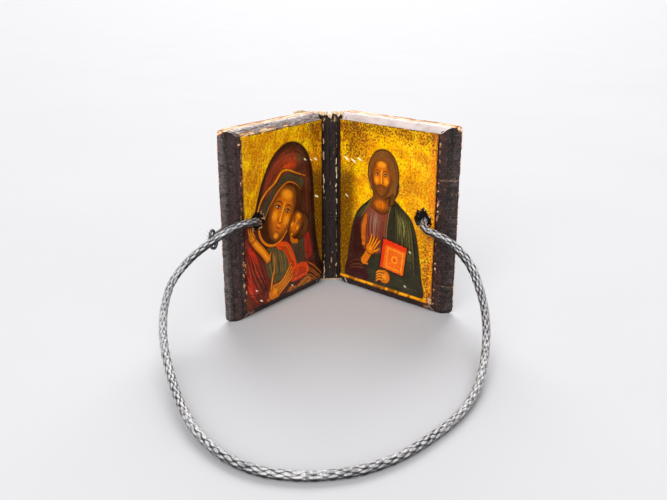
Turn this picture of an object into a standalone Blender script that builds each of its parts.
"""Travel diptych icon: two bevelled wooden leaves on a leather spine, a picture glued to each
leaf, and a braided cord that runs in a loop from the hole in one leaf to the hole in the other.

Metres, +Z up. The diptych stands open, facing -Y, on the undersides of its leaves. The origin
is under the middle of the body, on the surface that it stands on.

Each leaf is drawn in its own frame: X runs outwards from the fold, Y backwards through the
wood, and Z up. The frame's origin is the fold line of the leather, at the leaf's inner back edge.
"""

import math

import bmesh
import bpy
from mathutils import Matrix, Vector

MM = 0.001

# The leaves.
LEAF_HEIGHT = 60.0 * MM
LEAF_THICKNESS = 4.8 * MM
FACE_WIDTH = {-1: 38.6 * MM, 1: 39.3 * MM}  # of the flat that carries the picture
FACE_BOTTOM = 2.55 * MM
FACE_TOP = 57.45 * MM
RIM_DEPTH = 1.85 * MM  # how far back the bevelled rim runs
RIM_SPREAD = 2.0 * MM  # and how far out
BACK_SPREAD = 5.1 * MM  # the outer side flares on to this at the back
TOP_SLOPE = 0.6 * MM  # the top falls this much from back to front
INNER_RIM = 0.15 * MM  # a narrow bevel along the fold side
EDGE_ROUND = 0.45 * MM
HALF_OPENING = math.radians(42.25)  # from the plane of symmetry to each leaf

# The pictures.
PICTURE_THICKNESS = 0.25 * MM
GAP = 0.3 * MM  # between pieces that touch
PICTURE_INSET = 0.1 * MM
RIGHT_OUTER_INSET = 0.3 * MM

# The leather strip.
FOLD_SPACING = 12.6 * MM
LEATHER_THICKNESS = 1.1 * MM
FLAP_WIDTH = 7.6 * MM
LEATHER_ROUND = 0.25 * MM
STRIP_TOP = 59.3 * MM
LEFT_FLAP_TOP = 60.6 * MM
RIGHT_FLAP_TOP = 59.6 * MM

# The cord. A hole's place is measured from the front inner edge and from the surface below.
CORD_DIAMETER = 2.3 * MM
HOLE_DIAMETER = 4.4 * MM
HOLE_OUT = {-1: 32.8 * MM, 1: 34.6 * MM}
HOLE_UP = {-1: 30.85 * MM, 1: 30.3 * MM}
CORD_POINT_SPACING = 1.45 * CORD_DIAMETER
KNOT_SIZE = (6.4 * MM, 5.0 * MM, 6.0 * MM)
KNOT_SHIFT = 0.9 * MM  # from the hole's centre towards the spine
KNOT_TAIL_RADIUS = 1.0 * MM
KNOT_TAIL_FLARE = 1.15  # how much wider the tail starts
KNOT_TAIL = {-1: (11.6 * MM, 2.0 * MM, -5.2 * MM), 1: (5.0 * MM, 1.2 * MM, -6.4 * MM)}

# The front inner edges stand this far behind the origin, which centres the body on it.
FRONT_EDGE_Y = 12.19 * MM

SIDES = {"left": -1, "right": 1}

# The cord's route, from the back of each hole to the front of the loop, where the halves meet.
LOOP_FRONT = (-15.7, -99.59, 1.2)
CORD_ROUTE_MM = {
    "left": [
        (-28.1, -8.53, 30.8),
        (-25.4, -12.49, 30.9),
        (-24.7, -14.39, 31.3),
        (-24.8, -16.19, 31.8),
        (-25.8, -17.89, 32.3),
        (-28.0, -20.09, 32.7),
        (-30.8, -21.99, 32.4),
        (-33.9, -23.99, 31.3),
        (-37.1, -25.19, 29.5),
        (-41.7, -25.29, 26.3),
        (-46.0, -25.59, 22.3),
        (-49.6, -27.39, 17.9),
        (-51.3, -32.39, 13.7),
        (-51.4, -39.79, 10.0),
        (-50.3, -47.79, 7.2),
        (-48.1, -57.29, 5.0),
        (-44.6, -69.39, 3.4),
        (-39.4, -81.89, 2.1),
        (-32.8, -91.09, 1.5),
        (-25.0, -96.89, 1.25),
        LOOP_FRONT,
    ],
    "right": [
        (29.3, -9.79, 30.4),
        (26.5, -13.69, 29.6),
        (25.7, -15.59, 29.1),
        (25.9, -17.39, 28.6),
        (26.9, -18.99, 28.1),
        (28.9, -20.89, 27.5),
        (31.1, -22.89, 26.6),
        (33.5, -24.89, 25.0),
        (35.9, -27.09, 22.6),
        (37.6, -29.89, 20.0),
        (38.5, -34.19, 16.6),
        (38.7, -39.79, 13.0),
        (37.9, -46.09, 9.6),
        (36.0, -53.09, 6.4),
        (33.2, -60.59, 3.8),
        (29.0, -69.19, 2.1),
        (22.6, -78.49, 1.3),
        (13.7, -87.49, 1.2),
        (4.2, -94.69, 1.2),
        (-5.4, -98.69, 1.2),
        LOOP_FRONT,
    ],
}


def clear_scene():
    for obj in list(bpy.data.objects):
        bpy.data.objects.remove(obj, do_unlink=True)


def material(name, colour, roughness, metallic=0.0):
    made = bpy.data.materials.new(name)
    made.use_nodes = True
    shader = made.node_tree.nodes["Principled BSDF"]
    shader.inputs["Base Color"].default_value = (*colour, 1.0)
    shader.inputs["Roughness"].default_value = roughness
    shader.inputs["Metallic"].default_value = metallic
    made.diffuse_color = (*colour, 1.0)
    return made


def add_object(name, bm, surface, parent=None):
    """Turn a bmesh into a named object, with its faces pointing out."""
    bmesh.ops.recalc_face_normals(bm, faces=bm.faces)
    mesh = bpy.data.meshes.new(name)
    bm.to_mesh(mesh)
    bm.free()
    mesh.materials.append(surface)
    obj = bpy.data.objects.new(name, mesh)
    obj.parent = parent
    bpy.context.scene.collection.objects.link(obj)
    return obj


def add_frame(name, location, turn):
    """An empty on a fold line, turned so that its X lies along its leaf."""
    frame = bpy.data.objects.new(name, None)
    frame.empty_display_size = 10 * MM
    frame.location = location
    frame.rotation_euler = (0.0, 0.0, turn)
    bpy.context.scene.collection.objects.link(frame)
    return frame


def leaf_frame(side):
    """The frame of one leaf. The left leaf's X runs inwards, so its shapes are drawn at -X."""
    to_fold = Matrix.Rotation(-HALF_OPENING, 2) @ Vector((LEAF_THICKNESS, 0.0))
    fold_y = FRONT_EDGE_Y - to_fold.y
    turn = side * (HALF_OPENING - math.radians(90.0))
    name = "fold_right" if side > 0 else "fold_left"
    return add_frame(name, (side * FOLD_SPACING / 2, fold_y, 0.0), turn)


def rectangle(bm, side, depth, inner, outer, low, high):
    """Four corners of a leaf's outline at one depth behind the front face."""
    y = depth - LEAF_THICKNESS
    corners = ((inner, low), (outer, low), (outer, high), (inner, high))
    return [bm.verts.new((side * x, y, z)) for x, z in corners]


def stacked(bm, rings):
    """Close a solid through rings of four corners, front to back."""
    bm.faces.new(rings[0])
    for front, back in zip(rings, rings[1:]):
        for i in range(4):
            j = (i + 1) % 4
            bm.faces.new((front[i], front[j], back[j], back[i]))
    bm.faces.new(rings[-1])


def box(bm, side, x_span, y_span, z_span):
    """A plain block in a leaf's frame."""
    rings = [
        rectangle(bm, side, LEAF_THICKNESS + y, x_span[0], x_span[1], z_span[0], z_span[1])
        for y in y_span
    ]
    stacked(bm, rings)


def round_edges(obj, width, segments=2):
    bevel = obj.modifiers.new("rounded edges", "BEVEL")
    bevel.width = width
    bevel.segments = segments
    bevel.limit_method = "ANGLE"
    bevel.angle_limit = math.radians(30.0)


def hole_cutter(name, side, frame):
    """A cylinder through the leaf, where the cord runs."""
    bm = bmesh.new()
    bmesh.ops.create_cone(
        bm,
        cap_ends=True,
        segments=24,
        radius1=HOLE_DIAMETER / 2,
        radius2=HOLE_DIAMETER / 2,
        depth=3 * LEAF_THICKNESS,
        matrix=Matrix.Translation((side * HOLE_OUT[side], -LEAF_THICKNESS / 2, HOLE_UP[side]))
        @ Matrix.Rotation(math.radians(90.0), 4, "X"),
    )
    cutter = add_object(f"cutter_{name}", bm, bpy.data.materials["leaf wood"], frame)
    cutter.hide_render = True
    cutter.display_type = "WIRE"
    return cutter


def cut(obj, cutter):
    modifier = obj.modifiers.new("cord hole", "BOOLEAN")
    modifier.operation = "DIFFERENCE"
    modifier.object = cutter


def make_leaf(name, side, frame, cutter, wood):
    face = PICTURE_THICKNESS + GAP
    width = FACE_WIDTH[side]
    bm = bmesh.new()
    rings = [
        rectangle(bm, side, face, INNER_RIM, width, FACE_BOTTOM, FACE_TOP),
        rectangle(bm, side, RIM_DEPTH, 0.0, width + RIM_SPREAD, 0.0, LEAF_HEIGHT - TOP_SLOPE),
        rectangle(bm, side, LEAF_THICKNESS, 0.0, width + BACK_SPREAD, 0.0, LEAF_HEIGHT),
    ]
    stacked(bm, rings)
    leaf = add_object(f"leaf_{name}", bm, wood, frame)
    round_edges(leaf, EDGE_ROUND)
    cut(leaf, cutter)
    return leaf


def make_picture(name, side, frame, cutter, surface):
    outer = FACE_WIDTH[side] - (RIGHT_OUTER_INSET if side > 0 else PICTURE_INSET)
    front = -LEAF_THICKNESS
    bm = bmesh.new()
    box(
        bm,
        side,
        (INNER_RIM + PICTURE_INSET, outer),
        (front, front + PICTURE_THICKNESS),
        (FACE_BOTTOM + PICTURE_INSET, FACE_TOP - PICTURE_INSET),
    )
    picture = add_object(f"picture_{name}", bm, surface, frame)
    cut(picture, cutter)
    return picture


def make_strip(leather):
    """The free span of the leather, between the two fold lines."""
    fold_y = bpy.data.objects["fold_left"].location.y
    half = (FOLD_SPACING - GAP) / 2
    frame = add_frame("spine", (0.0, fold_y, 0.0), 0.0)
    bm = bmesh.new()
    box(bm, 1, (-half, half), (GAP, GAP + LEATHER_THICKNESS), (0.0, STRIP_TOP))
    strip = add_object("spine_strip", bm, leather, frame)
    round_edges(strip, LEATHER_ROUND, 1)


def make_flap(name, side, frame, top, leather):
    """The part of the leather that is glued to a leaf's back."""
    bm = bmesh.new()
    box(bm, side, (GAP / 2, FLAP_WIDTH), (GAP, GAP + LEATHER_THICKNESS), (0.0, top))
    flap = add_object(f"strip_flap_{name}", bm, leather, frame)
    round_edges(flap, LEATHER_ROUND, 1)


def knot_union(knot, bm, surface, frame):
    """Join one more closed shape to the knot."""
    piece = add_object(f"{knot.name}_piece_{len(knot.modifiers)}", bm, surface, frame)
    piece.hide_render = True
    piece.display_type = "WIRE"
    union = knot.modifiers.new("joined", "BOOLEAN")
    union.operation = "UNION"
    union.object = piece


def make_knot(name, side, frame, surface):
    """A stopper knot behind the hole, with the cord's cut end lying outwards along the back."""
    start = Vector((side * HOLE_OUT[side], GAP + KNOT_SIZE[1] / 2, HOLE_UP[side]))
    start.x -= side * KNOT_SHIFT
    bm = bmesh.new()
    bmesh.ops.create_uvsphere(
        bm,
        u_segments=16,
        v_segments=10,
        radius=0.5,
        matrix=Matrix.Translation(start) @ Matrix.Diagonal((*KNOT_SIZE, 1.0)),
    )
    knot = add_object(f"knot_{name}", bm, surface, frame)
    out, back, up = KNOT_TAIL[side]
    tail = Vector((side * out, back, up))
    turn = tail.to_track_quat("Z", "Y").to_matrix().to_4x4()
    bm = bmesh.new()
    bmesh.ops.create_cone(
        bm,
        cap_ends=True,
        segments=10,
        radius1=KNOT_TAIL_FLARE * KNOT_TAIL_RADIUS,
        radius2=KNOT_TAIL_RADIUS,
        depth=tail.length,
        matrix=Matrix.Translation(start + tail / 2) @ turn,
    )
    knot_union(knot, bm, surface, frame)


def smooth_route(points, steps=16):
    """A centripetal Catmull-Rom curve through the route's points."""
    knots = [Vector(p) * MM for p in points]
    knots = [2 * knots[0] - knots[1], *knots, 2 * knots[-1] - knots[-2]]
    line = []
    for p0, p1, p2, p3 in zip(knots, knots[1:], knots[2:], knots[3:]):
        t1 = (p1 - p0).length ** 0.5
        t2 = t1 + (p2 - p1).length ** 0.5
        t3 = t2 + (p3 - p2).length ** 0.5
        for step in range(steps):
            t = t1 + (t2 - t1) * step / steps
            a1 = p0.lerp(p1, t / t1)
            a2 = p1.lerp(p2, (t - t1) / (t2 - t1))
            a3 = p2.lerp(p3, (t - t2) / (t3 - t2))
            b1 = a1.lerp(a2, t / t2)
            b2 = a2.lerp(a3, (t - t1) / (t3 - t1))
            line.append(b1.lerp(b2, (t - t1) / (t2 - t1)))
    line.append(knots[-2])
    return line


def evenly_spaced(line, spacing, shorten):
    """Points at even distances along a line, which stops a little short of its end."""
    lengths = [0.0]
    for a, b in zip(line, line[1:]):
        lengths.append(lengths[-1] + (b - a).length)
    total = lengths[-1] - shorten
    count = math.ceil(total / spacing)
    spaced = []
    i = 0
    for k in range(count + 1):
        distance = total * k / count
        while i < len(line) - 2 and lengths[i + 1] < distance:
            i += 1
        share = (distance - lengths[i]) / (lengths[i + 1] - lengths[i])
        spaced.append(line[i].lerp(line[i + 1], share))
    return spaced


def make_cord(name, surface):
    line = smooth_route(CORD_ROUTE_MM[name])
    points = evenly_spaced(line, CORD_POINT_SPACING, GAP / 2)
    curve = bpy.data.curves.new(f"cord_{name}", "CURVE")
    curve.dimensions = "3D"
    curve.bevel_depth = CORD_DIAMETER / 2
    curve.bevel_resolution = 2
    curve.use_fill_caps = True
    spline = curve.splines.new("POLY")
    spline.points.add(len(points) - 1)
    for target, point in zip(spline.points, points):
        target.co = (*point, 1.0)
    curve.materials.append(surface)
    cord = bpy.data.objects.new(f"cord_{name}", curve)
    bpy.context.scene.collection.objects.link(cord)


def main():
    clear_scene()
    wood = material("leaf wood", (0.030, 0.019, 0.015), 0.55)
    picture_surfaces = {
        "left": material("picture left", (0.52, 0.24, 0.035), 0.35),
        "right": material("picture right", (0.68, 0.40, 0.02), 0.35),
    }
    leather = material("spine leather", (0.022, 0.015, 0.012), 0.6)
    cord_surface = material("waxed cord", (0.035, 0.035, 0.04), 0.38)
    flap_tops = {"left": LEFT_FLAP_TOP, "right": RIGHT_FLAP_TOP}
    for name, side in SIDES.items():
        frame = leaf_frame(side)
        cutter = hole_cutter(name, side, frame)
        make_leaf(name, side, frame, cutter, wood)
        make_picture(name, side, frame, cutter, picture_surfaces[name])
        make_flap(name, side, frame, flap_tops[name], leather)
        make_knot(name, side, frame, cord_surface)
        make_cord(name, cord_surface)
    make_strip(leather)


main()
